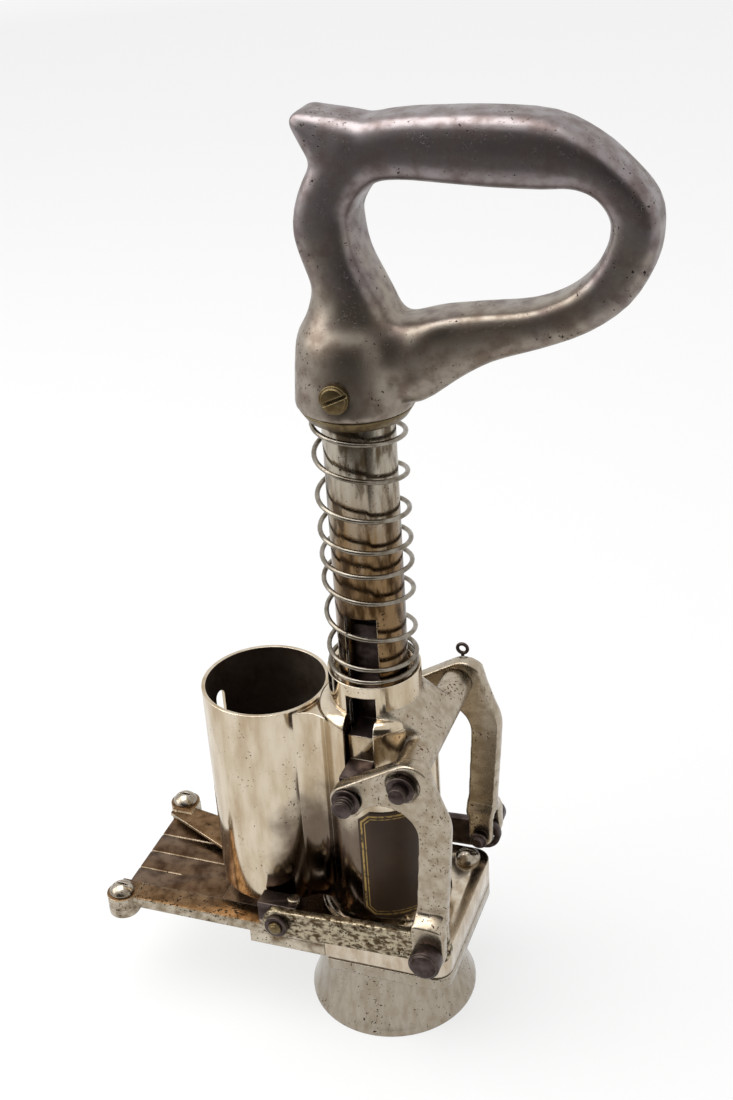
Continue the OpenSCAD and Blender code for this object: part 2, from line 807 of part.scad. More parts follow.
// Bar through the barrel slot that joins the two levers, with a post up inside the plunger tube
module crosshead() {
    color("darkgray")
        difference() {
            union() {
                translate([-cross_half, -lever_in + 0.4, cross_low_z])
                    cube([2 * cross_half, 2 * (lever_in - 0.4), cross_mid_z - cross_low_z]);
                translate([-cross_half, -cross_block_w, cross_mid_z - cut])
                    cube([2 * cross_half, 2 * cross_block_w, cross_top_z - cross_mid_z + cut]);
                translate([-cross_half, -cross_post_w, cross_top_z - cut])
                    cube([2 * cross_half, 2 * cross_post_w, cross_post_z - cross_top_z + cut]);
            }
            both()
                rod(cross_pin, neck_r, lever_in + cut, stud_d / 2);
        }
}

// Studs at both ends of the crosshead, grooved where they stand out
module crosshead_studs() {
    head_y = lever_out + move_gap + 1;
    head_len = 4.7;
    color("dimgray")
        both() {
            rod(cross_pin, neck_r + 0.2, head_y + cut, stud_d / 2 - run_fit);
            for (y = [0 : head_len / 3 : head_len - 1])
                rod(cross_pin, head_y + y, head_y + y + head_len / 4, stud_d / 2 + 1.2);
            rod(cross_pin, head_y, head_y + head_len, stud_d / 2 + 0.6);
        }
}

// Washers between the levers and the stud heads
module crosshead_washers() {
    color("gray")
        both()
            difference() {
                rod(cross_pin, lever_out + move_gap, lever_out + move_gap + 1, stud_d / 2 + 2.9);
                rod(cross_pin, lever_out, lever_out + 2, stud_d / 2);
            }
}

// Face of a lever: a hub, an arm to the crosshead and a bowed leg down to the link
module lever_face() {
    hub = pivot + [2.6, 0.6];
    hub_r = 8.8;
    tip = cross_pin - [0, 0.8];
    tip_r = 6.8;
    // Direction across the arm, from its middle line up to its top edge
    arm_up = [tip[1] - hub[1], hub[0] - tip[0]] / norm(hub - tip);
    bow = pivot + [0.3, -19];
    bow_r = 17.4;
    arch = pivot + [-7, -22.5];
    arch_r = 12;
    leg_z = link_pin[1] + 9.5;
    leg_x = link_pin[0];
    // Radius that the cast corners are rounded to, inside and outside
    soft = 4;
    offset(r = -soft)
        offset(delta = soft)
            offset(r = soft)
                offset(delta = -soft)
                    difference() {
                        union() {
                            translate(hub)
                                circle(hub_r);
                            translate(tip)
                                circle(tip_r);
                            polygon([tip + tip_r * arm_up, hub + hub_r * arm_up, bow + [0, bow_r / 2],
                                bow - [0.9 * bow_r, 0], tip + tip_r * [0.24, -0.96]]);
                            polygon([hub, hub + [hub_r, 0], bow + bow_r * [cos(30), sin(30)], bow]);
                            translate(bow)
                                circle(bow_r);
                            polygon([arch + [arch_r, 1], bow + [bow_r - 0.1, -2], [leg_x + 6.6, leg_z + 5],
                                [leg_x + 6.2, leg_z - soft], [leg_x - 5.7, leg_z - soft],
                                [leg_x - 5.6, leg_z + 4]]);
                        }
                        translate(arch)
                            circle(arch_r);
                        polygon([arch + [arch_r, 0], [leg_x - 5.6, leg_z + 4], [leg_x - 5.7, leg_z - 20],
                            [-40, leg_z - 20], [-40, arch[1]]]);
                    }
}

// Slot that lets the crosshead stud rise straight while the lever swings
module stud_slot() {
    arm = pivot - cross_pin;
    far = norm(arm);
    near = arm[0];
    half = stud_d / 2 + 0.7;
    translate(pivot)
        rotate(atan2(-arm[1], -arm[0])) {
            translate([near, 0])
                circle(half);
            translate([far, 0])
                circle(half);
            translate([near, -half])
                square([far - near, 2 * half]);
        }
}

// One lever, forked at the foot round its link, with a shallow seat round the pivot
module lever() {
    fork_z = link_pin[1] + 9.5;
    lug_top = link_pin[1] + 12.5;
    fork_x = link_pin[0] - 6.2;
    fork_w = 12.6;
    // Outer and inner cheek as [inner face, thickness, end radius]
    cheeks = [[lug_in, lug_t, 6.6], [cheek_in, cheek_out - cheek_in, 5.2]];
    difference() {
        union() {
            difference() {
                plate(lever_in, lever_t)
                    lever_face();
                translate([fork_x - fork_w, -lever_out - cut, fork_z - 2 * fork_w])
                    cube([3 * fork_w, lever_t + 2 * cut, 2 * fork_w]);
            }
            for (c = cheeks)
                plate(c[0], c[1]) {
                    translate(link_pin)
                        circle(c[2]);
                    translate([link_pin[0] - c[2] + 0.2, link_pin[1]])
                        square([2 * c[2] - 0.4, lug_top - link_pin[1]]);
                }
            translate([fork_x, 0, 0])
                rotate([90, 0, 90])
                    linear_extrude(fork_w)
                        polygon([[-lever_out + 1, lug_top + 3.5], [-lug_out, lug_top], [-lug_out, fork_z],
                            [-cheek_in, fork_z], [-cheek_in, lug_top], [-lever_in - 1, lug_top + 3.5]]);
        }
        rod(pivot, lever_in - cut, lever_out + cut, pivot_d / 2);
        plate(lever_in - cut, lever_t + 2 * cut)
            stud_slot();
        rod(pivot, lever_out - 0.8, lever_out + cut, 6.6);
        rod(link_pin, cheek_in - cut, lug_out + cut, link_pin_d / 2);
    }
}

// Lever on the near side
module front_lever() {
    color("lightgray")
        lever();
}

// Lever on the far side
module rear_lever() {
    color("lightgray")
        mirror([0, 1, 0])
            lever();
}

// Headed pin through the fork of a lever, with a keeper ring on its inner end
module lever_link_pin() {
    head_len = 6.5;
    tail_in = cheek_in - 5;
    rod(link_pin, tail_in, lug_out + cut, link_pin_d / 2 - run_fit);
    rod(link_pin, tail_in + 1.5, tail_in + 2.7, link_pin_d / 2 + 1.3);
    rod(link_pin, lug_out, lug_out + head_len - 0.8, 6);
    rod(link_pin, lug_out, lug_out + head_len, 5.2);
}

// Pin on the near side
module front_link_pin() {
    color("goldenrod")
        lever_link_pin();
}

// Pin on the far side
module rear_link_pin() {
    color("goldenrod")
        mirror([0, 1, 0])
            lever_link_pin();
}

// Link from a lever to the feed slide, with a slack eye at the lever end
module link() {
    eye = link_pin - [0, eye_drop];
    eye_out = eye_r + 2.5;
    end_r = 6.2;
    difference() {
        plate(link_in, link_t)
            difference() {
                union() {
                    polygon([slide_pin + [1, 0.4 - end_r], eye + [-6, -eye_out], eye + [0, 0.6 - eye_out],
                        eye + [-2.2, eye_out - 0.6], eye + [-12, eye_out - 1], slide_pin + [1, end_r - 0.4]]);
                    translate(slide_pin)
                        circle(end_r);
                    translate(eye)
                        circle(eye_out);
                }
                translate(eye)
                    circle(eye_r);
            }
        rod(slide_pin, link_in - cut, link_out + cut, slide_pin_d / 2);
    }
}

// Link on the near side
module front_link() {
    color("burlywood")
        link();
}

// Link on the far side
module rear_link() {
    color("burlywood")
        mirror([0, 1, 0])
            link();
}

// Feed slide: a thin plate under the discs with a wing over each rail
module feed_slide() {
    wing_web_x = -33.5;
    color("tan")
        difference() {
            union() {
                translate([-slide_left, -slide_w, slide_z])
                    cube([slide_left - slide_right, 2 * slide_w, slide_t]);
                both() {
                    translate([wing_web_x, -slide_w, slide_z])
                        cube([wing_x[1] - wing_web_x, slide_w - wing_in, block_z - slide_z]);
                    translate([wing_x[0], -block_out, wing_z])
                        cube([wing_x[1] - wing_x[0], block_out - wing_in, wing_t]);
                }
            }
            translate([0, 0, slide_z - cut])
                cylinder(h = slide_t + 2 * cut, r = throat_r + 0.3);
            slide_screw_holes(wing_z - cut, wing_t + 2 * cut);
        }
}

// Holes for the screws that hold the blocks on the wings, from z upward
module slide_screw_holes(z, h) {
    for (s = [-1, 1])
        translate([slide_screw_x, s * (block_in + block_out) / 2, z])
            cylinder(h = h, r = 1.3);
}

// Block on a wing of the slide that carries the link pin
module slide_block() {
    difference() {
        translate([wing_x[0], -block_out, block_z])
            cube([wing_x[1] - wing_x[0], block_out - block_in, block_top_z - block_z]);
        slide_screw_holes(block_z - cut, block_top_z - block_z + 2 * cut);
        rod(slide_pin, block_in - cut, block_out + cut, slide_pin_d / 2);
    }
}

// Block on the near side
module front_slide_block() {
    color("dimgray")
        slide_block();
}

// Block on the far side
module rear_slide_block() {
    color("dimgray")
        mirror([0, 1, 0])
            slide_block();
}

// Small screws down through the blocks into the wings
module slide_screws() {
    color("gray")
        for (s = [-1, 1])
            translate([slide_screw_x, s * (block_in + block_out) / 2, 0]) {
                translate([0, 0, wing_z])
                    cylinder(h = block_top_z - wing_z + cut, r = 1.3 - run_fit);
                translate([0, 0, block_top_z])
                    cylinder(h = 2.2, r = 2.4);
            }
}

// Pins from the blocks out through the links
module slide_pins() {
    color("goldenrod")
        both() {
            rod(slide_pin, block_in, link_out + 3.4, slide_pin_d / 2 - run_fit);
            rod(slide_pin, link_out + 3, link_out + 4, slide_pin_d / 2 - 0.8);
        }
}

// Round nuts that keep the links on their pins
module slide_nuts() {
    color("dimgray")
        both()
            difference() {
                rod(slide_pin, link_out + move_gap, link_out + move_gap + 2, slide_pin_d / 2 + 2);
                rod(slide_pin, link_out, link_out + 4, slide_pin_d / 2);
            }
}

body();
label_plate();
bell();
base_block();
base_screws();
bed_plate();
front_rail();
rear_rail();
rail_screws();
pivot_shaft();
pivot_cotter();
pivot_clip();
main_spring();
plunger_tube();
presser();
handle();
handle_collar();
handle_screw();
crosshead();
crosshead_studs();
crosshead_washers();
front_lever();
rear_lever();
front_link_pin();
rear_link_pin();
front_link();
rear_link();
feed_slide();
front_slide_block();
rear_slide_block();
slide_screws();
slide_pins();
slide_nuts();
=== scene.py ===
# %% [markdown]
# # A lever-fed milk bottle capper
# The tool stands on its bell. A hand lifts it by the loop grip, which swings the two levers and feeds one
# paper disc from the magazine. Then the hand pushes the grip down and the pad presses the disc home.
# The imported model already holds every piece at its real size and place. This lesson only dresses it: soft
# edges, worn metal, a round spring wire, the light and the camera.

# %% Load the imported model
import json
import math
import bpy
from mathutils import Matrix, Vector


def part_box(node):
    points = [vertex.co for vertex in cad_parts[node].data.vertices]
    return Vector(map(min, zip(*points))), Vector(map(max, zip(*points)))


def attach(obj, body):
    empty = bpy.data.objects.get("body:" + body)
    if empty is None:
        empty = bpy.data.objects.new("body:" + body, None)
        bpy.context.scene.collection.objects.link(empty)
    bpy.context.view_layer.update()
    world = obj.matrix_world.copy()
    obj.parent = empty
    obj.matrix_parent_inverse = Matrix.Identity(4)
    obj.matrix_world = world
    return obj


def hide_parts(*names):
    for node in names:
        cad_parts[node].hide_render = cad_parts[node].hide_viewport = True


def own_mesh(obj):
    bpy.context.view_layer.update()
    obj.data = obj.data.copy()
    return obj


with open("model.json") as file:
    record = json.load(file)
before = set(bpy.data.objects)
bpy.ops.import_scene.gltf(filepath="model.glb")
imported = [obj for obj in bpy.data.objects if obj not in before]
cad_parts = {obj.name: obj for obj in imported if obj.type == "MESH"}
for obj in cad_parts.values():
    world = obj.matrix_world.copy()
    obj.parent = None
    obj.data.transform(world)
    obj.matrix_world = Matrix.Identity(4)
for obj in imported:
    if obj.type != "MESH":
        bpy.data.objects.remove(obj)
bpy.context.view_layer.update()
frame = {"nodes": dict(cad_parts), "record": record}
nodes = frame["nodes"]
mm = 0.001

# %% [markdown]
# ## Small helpers
# Blender works with linear light, while a colour given here is an sRGB hex value, so one function turns
# the one into the other. A second one adds a shader node with its settings and links in a single call,
# which keeps each material short enough to read from top to bottom.

# %% Colour and node helpers
def linear(hex_colour):
    """An sRGB hex value as linear red, green, blue and alpha."""
    channels = [int(hex_colour[i:i + 2], 16) / 255 for i in (1, 3, 5)]
    return [c / 12.92 if c <= 0.04045 else ((c + 0.055) / 1.055) ** 2.4 for c in channels] + [1.0]


def add_node(tree, kind, values=None, links=None):
    """A new shader node: values go to its settings or sockets, links come from other sockets."""
    node = tree.nodes.new(kind)
    for key, value in (values or {}).items():
        if isinstance(key, int) or key in node.inputs:
            node.inputs[key].default_value = value
        else:
            setattr(node, key, value)
    for key, socket in (links or {}).items():
        tree.links.new(socket, node.inputs[key])
    return node


def start_material(name):
    """An empty material with one shader, ready for its pattern nodes."""
    material = bpy.data.materials.new(name)
    material.use_nodes = True
    tree = material.node_tree
    tree.nodes.clear()
    shader = add_node(tree, "ShaderNodeBsdfPrincipled")
    add_node(tree, "ShaderNodeOutputMaterial", {}, {"Surface": shader.outputs["BSDF"]})
    return material, tree, shader

# %% [markdown]
# ## One recipe for worn metal
# Nearly every piece is old metal: a clean colour, a thin film of tarnish, dirt and painted shade in the corners
# that no cloth reaches, edges that hands have rubbed bright, and small dark pits where the plating has failed. The
# recipe is the same for all of them and only the colours and sizes differ.
#
# Two nodes look at the shape itself. Ambient Occlusion finds the corners, which are darkened as partly dirt and
# partly painted shade, and the Bevel node rounds the edges a little: where its answer differs from the true surface
# there is an edge to rub bright. A metal can also change to a second colour, on its upper faces or low down, where
# the plating has worn through; between the magazine and the barrel that brown is partly tarnish and partly painted
# shade and reflection.

# %% The worn metal recipe
# Pits gather in patches this many times as wide as a pit. A patch adds the lift, and the base is always taken off.
patch_width, patch_lift, patch_base = 11, 0.35, -0.17
pit_rim = 0.06
# An edge is where the soft normal leaves the true one: from barely, to clearly, and how bright it then gets.
edge_from, edge_to, edge_most = 0.995, 0.8, 0.6
# A corner is where little of the sky is open: from mostly, to hardly, and how dark it then gets, partly dirt and
# partly painted shade.
corner_from, corner_to, dirt_and_shade_most = 0.8, 0.3, 0.85
dull_gain = 0.3
bump_strength, bump_mm = 0.5, 0.15


def worn_metal(name, clean, film, rubbed, pit, rough, film_mm, pit_mm, pit_from, film_from=(0.3, 0.75),
               stretch=1.0, dirt="#2b221b", dirt_and_shade_mm=3.0, grain_mm=0.8, grain=0.12, edge_mm=0.6,
               second=None, where=None):
    """Metal with film, dirt and painted shade in corners, rubbed edges and pits. rough is the roughness of clean and
    of filmed metal.
    """
    material, tree, shader = start_material(name)
    place = add_node(tree, "ShaderNodeTexCoord").outputs["Object"]
    drawn = add_node(tree, "ShaderNodeMapping", {"Scale": (1.0, 1.0, stretch)}, {"Vector": place})
    clouds = add_node(tree, "ShaderNodeTexNoise", {"Scale": 1 / (film_mm * mm), "Detail": 4.0, "Roughness": 0.55},
                      {"Vector": drawn.outputs["Vector"]})
    filmed = add_node(tree, "ShaderNodeMapRange", {"interpolation_type": "SMOOTHSTEP", "From Min": film_from[0],
                      "From Max": film_from[1]}, {"Value": clouds.outputs["Fac"]})
    specks = add_node(tree, "ShaderNodeTexNoise", {"Scale": 1 / (pit_mm * mm), "Detail": 2.0}, {"Vector": place})
    patches = add_node(tree, "ShaderNodeTexNoise", {"Scale": 1 / (patch_width * pit_mm * mm), "Detail": 2.0},
                       {"Vector": place})
    crowd = add_node(tree, "ShaderNodeMath", {"operation": "MULTIPLY_ADD", 1: patch_lift, 2: patch_base},
                     {0: patches.outputs["Fac"]})
    speck_sum = add_node(tree, "ShaderNodeMath", {"operation": "ADD"},
                         {0: specks.outputs["Fac"], 1: crowd.outputs[0]})
    pits = add_node(tree, "ShaderNodeMapRange", {"interpolation_type": "SMOOTHSTEP", "From Min": pit_from,
                    "From Max": pit_from + pit_rim}, {"Value": speck_sum.outputs[0]})
    soft = add_node(tree, "ShaderNodeBevel", {"samples": 6, "Radius": edge_mm * mm})
    true = add_node(tree, "ShaderNodeNewGeometry")
    bend = add_node(tree, "ShaderNodeVectorMath", {"operation": "DOT_PRODUCT"},
                    {0: soft.outputs["Normal"], 1: true.outputs["Normal"]})
    edge = add_node(tree, "ShaderNodeMapRange", {"From Min": edge_from, "From Max": edge_to, "To Max": edge_most},
                    {"Value": bend.outputs["Value"]})
    # Painted shade: corners that Ambient Occlusion finds are darkened toward the dirt colour, partly dirt and partly
    # shade.
    corner = add_node(tree, "ShaderNodeAmbientOcclusion", {"samples": 4, "only_local": True,
                      "Distance": dirt_and_shade_mm * mm})
    dirty = add_node(tree, "ShaderNodeMapRange", {"From Min": corner_from, "From Max": corner_to,
                     "To Max": dirt_and_shade_most}, {"Value": corner.outputs["AO"]})
    under = add_node(tree, "ShaderNodeMix", {"data_type": "RGBA", 6: linear(clean), 7: linear(second or clean)},
                     {0: where(tree, place)} if where else {})
    hazy = add_node(tree, "ShaderNodeMix", {"data_type": "RGBA", "blend_type": "MULTIPLY", 7: linear(film)},
                    {0: filmed.outputs["Result"], 6: under.outputs[2]})
    dirt_and_shade_applied = add_node(tree, "ShaderNodeMix", {"data_type": "RGBA", 7: linear(dirt)},
                       {0: dirty.outputs["Result"], 6: hazy.outputs[2]})
    bright = add_node(tree, "ShaderNodeMix", {"data_type": "RGBA", 7: linear(rubbed)},
                      {0: edge.outputs["Result"], 6: dirt_and_shade_applied.outputs[2]})
    colour = add_node(tree, "ShaderNodeMix", {"data_type": "RGBA", 7: linear(pit)},
                      {0: pits.outputs["Result"], 6: bright.outputs[2]})
    dull = add_node(tree, "ShaderNodeMapRange", {"To Min": rough[0], "To Max": rough[1]},
                    {"Value": filmed.outputs["Result"]})
    duller = add_node(tree, "ShaderNodeMath", {"operation": "MULTIPLY_ADD", 1: dull_gain},
                      {0: pits.outputs["Result"], 2: dull.outputs["Result"]})
    dullest = add_node(tree, "ShaderNodeMath", {"operation": "MULTIPLY_ADD", 1: dull_gain, "use_clamp": True},
                       {0: dirty.outputs["Result"], 2: duller.outputs[0]})
    fine = add_node(tree, "ShaderNodeTexNoise", {"Scale": 1 / (grain_mm * mm), "Detail": 3.0}, {"Vector": place})
    sunk = add_node(tree, "ShaderNodeMath", {"operation": "MULTIPLY", 1: -1.0}, {0: pits.outputs["Result"]})
    height = add_node(tree, "ShaderNodeMath", {"operation": "MULTIPLY_ADD", 1: grain},
                      {0: fine.outputs["Fac"], 2: sunk.outputs[0]})
    bump = add_node(tree, "ShaderNodeBump", {"Strength": bump_strength, "Distance": bump_mm * mm},
                    {"Height": height.outputs[0], "Normal": soft.outputs["Normal"]})
    shader.inputs["Metallic"].default_value = 1.0
    tree.links.new(colour.outputs[2], shader.inputs["Base Color"])
    tree.links.new(dullest.outputs[0], shader.inputs["Roughness"])
    tree.links.new(bump.outputs["Normal"], shader.inputs["Normal"])
    return material

# %% Where a metal changes colour
def on_upper_faces(tree, place):
    """One on faces that look up, zero on the sides."""
    facing = add_node(tree, "ShaderNodeNewGeometry")
    split = add_node(tree, "ShaderNodeSeparateXYZ", {}, {0: facing.outputs["Normal"]})
    return add_node(tree, "ShaderNodeMapRange", {"From Min": 0.5, "From Max": 0.8},
                    {"Value": split.outputs["Z"]}).outputs["Result"]


def tarnish_and_shade_between_the_tubes(tree, place):
    """One low down in the valley between magazine and barrel: a brown that is partly tarnish and partly painted
    shade and reflection.
    """
    # Painted shade and reflection: the brown of this valley is partly tarnish and partly the shade and dark
    # reflections that fall there.
    cloud_mm, ragged = 12, 0.7
    clean_z, brown_z = 124 * mm, 72 * mm
    left_x, valley_left_x, valley_right_x, right_x = -46 * mm, -28 * mm, 6 * mm, 18 * mm
    split = add_node(tree, "ShaderNodeSeparateXYZ", {}, {0: place})
    clouds = add_node(tree, "ShaderNodeTexNoise", {"Scale": 1 / (cloud_mm * mm), "Detail": 4.0}, {"Vector": place})
    lower = add_node(tree, "ShaderNodeMapRange", {"From Min": clean_z, "From Max": brown_z},
                     {"Value": split.outputs["Z"]})
    inward = add_node(tree, "ShaderNodeMapRange", {"From Min": left_x, "From Max": valley_left_x},
                      {"Value": split.outputs["X"]})
    fading = add_node(tree, "ShaderNodeMapRange", {"From Min": right_x, "From Max": valley_right_x},
                      {"Value": split.outputs["X"]})
    across = add_node(tree, "ShaderNodeMath", {"operation": "MULTIPLY"},
                      {0: inward.outputs["Result"], 1: fading.outputs["Result"]})
    valley = add_node(tree, "ShaderNodeMath", {"operation": "MULTIPLY"},
                      {0: lower.outputs["Result"], 1: across.outputs[0]})
    torn = add_node(tree, "ShaderNodeMath", {"operation": "MULTIPLY_ADD", 1: ragged, 2: -ragged / 2},
                    {0: clouds.outputs["Fac"]})
    edge = add_node(tree, "ShaderNodeMath", {"operation": "ADD"}, {0: valley.outputs[0], 1: torn.outputs[0]})
    return add_node(tree, "ShaderNodeMapRange", {"interpolation_type": "SMOOTHSTEP", "From Min": 0.2,
                    "From Max": 0.7, "To Max": 0.9}, {"Value": edge.outputs[0]}).outputs["Result"]


def below(high_mm, low_mm, ragged_mm, cloud_mm, stretch):
    """A mask that is one under the low mark and zero over the high one, with a ragged border between."""
    def mask(tree, place):
        drawn = add_node(tree, "ShaderNodeMapping", {"Scale": (1.0, 1.0, stretch)}, {"Vector": place})
        streaks = add_node(tree, "ShaderNodeTexNoise", {"Scale": 1 / (cloud_mm * mm), "Detail": 3.0},
                           {"Vector": drawn.outputs["Vector"]})
        split = add_node(tree, "ShaderNodeSeparateXYZ", {}, {0: place})
        moved = add_node(tree, "ShaderNodeMath", {"operation": "MULTIPLY_ADD", 1: ragged_mm * mm},
                         {0: streaks.outputs["Fac"], 2: split.outputs["Z"]})
        return add_node(tree, "ShaderNodeMapRange", {"From Min": (high_mm + ragged_mm / 2) * mm,
                        "From Max": (low_mm + ragged_mm / 2) * mm}, {"Value": moved.outputs[0]}).outputs["Result"]
    return mask

# %% Metals of the tool
finish = {
    # Cast aluminium, handled for years: grey under an even purple brown film, satin, finely pitted.
    "handle": worn_metal("cast_aluminium", "#8e8686", "#cac0bb", "#b3aeaa", "#262220", (0.34, 0.44), 6, 0.9, 0.68,
                         film_from=(0.33, 0.7), grain=0.25, second="#948a7e", where=below(322, 292, 80, 12, 1.0)),
    # Polished nickel over brass: warm silver that mirrors its surroundings, with a brown low between the tubes that
    # is partly tarnish and partly painted shade and reflection.
    "nickel": worn_metal("polished_nickel", "#d3c6b1", "#d3c7b5", "#e8dfcf", "#4d3f30", (0.1, 0.19), 8, 0.8, 0.71,
                         stretch=0.25, grain=0.04, dirt="#5d4d3c", dirt_and_shade_mm=4,
                         second="#54453a", where=tarnish_and_shade_between_the_tubes),
    # Inside of the magazine, never polished: matt brown grey.
    "bore": worn_metal("tarnished_bore", "#6a5d53", "#b5a89b", "#8d8072", "#2b231d", (0.5, 0.6), 8, 1.0, 0.74),
    # Matt nickel on the levers: paler and rougher, with rust that shows through in specks.
    "lever": worn_metal("matt_nickel", "#b1a695", "#d8d0c5", "#cfc5b4", "#4a2c1e", (0.22, 0.33), 4, 1.0, 0.66),
    # The cross bar is the same matt nickel. Its wide Bevel radius melts the casting's flat meeting planes.
    "bar": worn_metal("matt_cross_bar", "#b1a695", "#d8d0c5", "#b1a695", "#54291a", (0.22, 0.33), 4, 1.2, 0.65,
                      edge_mm=3.0),
    # Pitted nickel on the bell, dull where the plating has gone, scratched downward by many bottles.
    "bell": worn_metal("pitted_nickel", "#a69d8f", "#e6dfd5", "#c9c1b5", "#3c332a", (0.14, 0.24), 3, 0.8, 0.67,
                       stretch=0.3),
    # The block above it kept its polish, warm and only lightly spotted.
    "block": worn_metal("polished_block", "#cbbfad", "#ddd4c8", "#e2d9cb", "#463a2e", (0.14, 0.24), 4, 0.9, 0.72,
                        stretch=0.4),
    # Bright drawn spring wire.
    "wire": worn_metal("spring_wire", "#948d82", "#b5aca0", "#aaa499", "#3b342c", (0.16, 0.24), 5, 0.9, 0.74),
    # Plated tube, silver above and rubbed through to copper brown below by the plunger's travel.
    "tube": worn_metal("worn_tube", "#aaa294", "#8c8070", "#bdb19c", "#2b2118", (0.16, 0.3), 5, 1.0, 0.69,
                       film_from=(0.42, 0.62), stretch=0.3, second="#7d6548", where=below(245, 205, 70, 3.5, 0.12)),
    # Dull brown brass fittings.
    "brass": worn_metal("dull_brass", "#75664a", "#b9ab99", "#948460", "#2f2418", (0.32, 0.44), 4, 0.9, 0.73),
    # Rails: brass shows on top where the discs and the slide have worn the nickel, the sides stay silver.
    "rail": worn_metal("worn_rail", "#b9ae9c", "#a3957f", "#c2b398", "#2c2018", (0.22, 0.38), 4, 1.0, 0.63,
                       second="#7e6347", where=on_upper_faces),
    # Tray: copper brown stain on top, polished nickel along its front edge.
    "tray": worn_metal("stained_tray", "#c2b7a5", "#94836f", "#a3927a", "#2c2119", (0.22, 0.42), 6, 1.0, 0.68,
                       film_from=(0.32, 0.7), second="#6e5742", where=on_upper_faces),
    # Front link: cream plating flaked off a dark base, drawn coarser than it is so that it shows.
    "link": worn_metal("flaked_plate", "#b0a48c", "#7b6c5b", "#c6b99e", "#3a2f25", (0.28, 0.45), 2.4, 0.8, 0.6,
                       film_from=(0.4, 0.62), stretch=1.6),
    # Oiled dark steel of the studs, pins and blocks, with a purple brown cast.
    "dark": worn_metal("oiled_steel", "#564b48", "#9a8e89", "#83776d", "#1b1714", (0.34, 0.48), 4, 0.8, 0.74),
    # Polished screw heads.
    "dome": worn_metal("polished_steel", "#aaa194", "#b9ae9f", "#c9c1b4", "#3f362c", (0.18, 0.3), 3, 0.9, 0.72),
}
print("made", len(finish), "metals")

# %% [markdown]
# ## The label
# The real plate is dark brown enamel with a double gold line inside its cut corners. A line that keeps its
# distance from the edge is drawn by measuring that distance in the shader: along the curve from the plate's
# middle, and up from its middle height. The greater of the two, and of their sum at the corners, is how far
# out a point lies, and two narrow bands of it are gold.

# %% Label enamel with a gold double line
label_low, label_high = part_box("label_plate")
label_mid_z = (label_low.z + label_high.z) / 2
label_half_z = (label_high.z - label_low.z) / 2
barrel_mm = 22.3
label_radius = (barrel_mm + 0.5) * mm
label_facing = math.radians(29)
label_reach = 0.57
label_half_arc = label_radius * math.asin(label_reach)
label_corner = 4 * mm
# Each gold line's distance from the plate's edge and half its width
outer_line, outer_half = 1.6 * mm, 0.38 * mm
inner_line, inner_half = 2.9 * mm, 0.2 * mm
diagonal = math.sqrt(0.5)


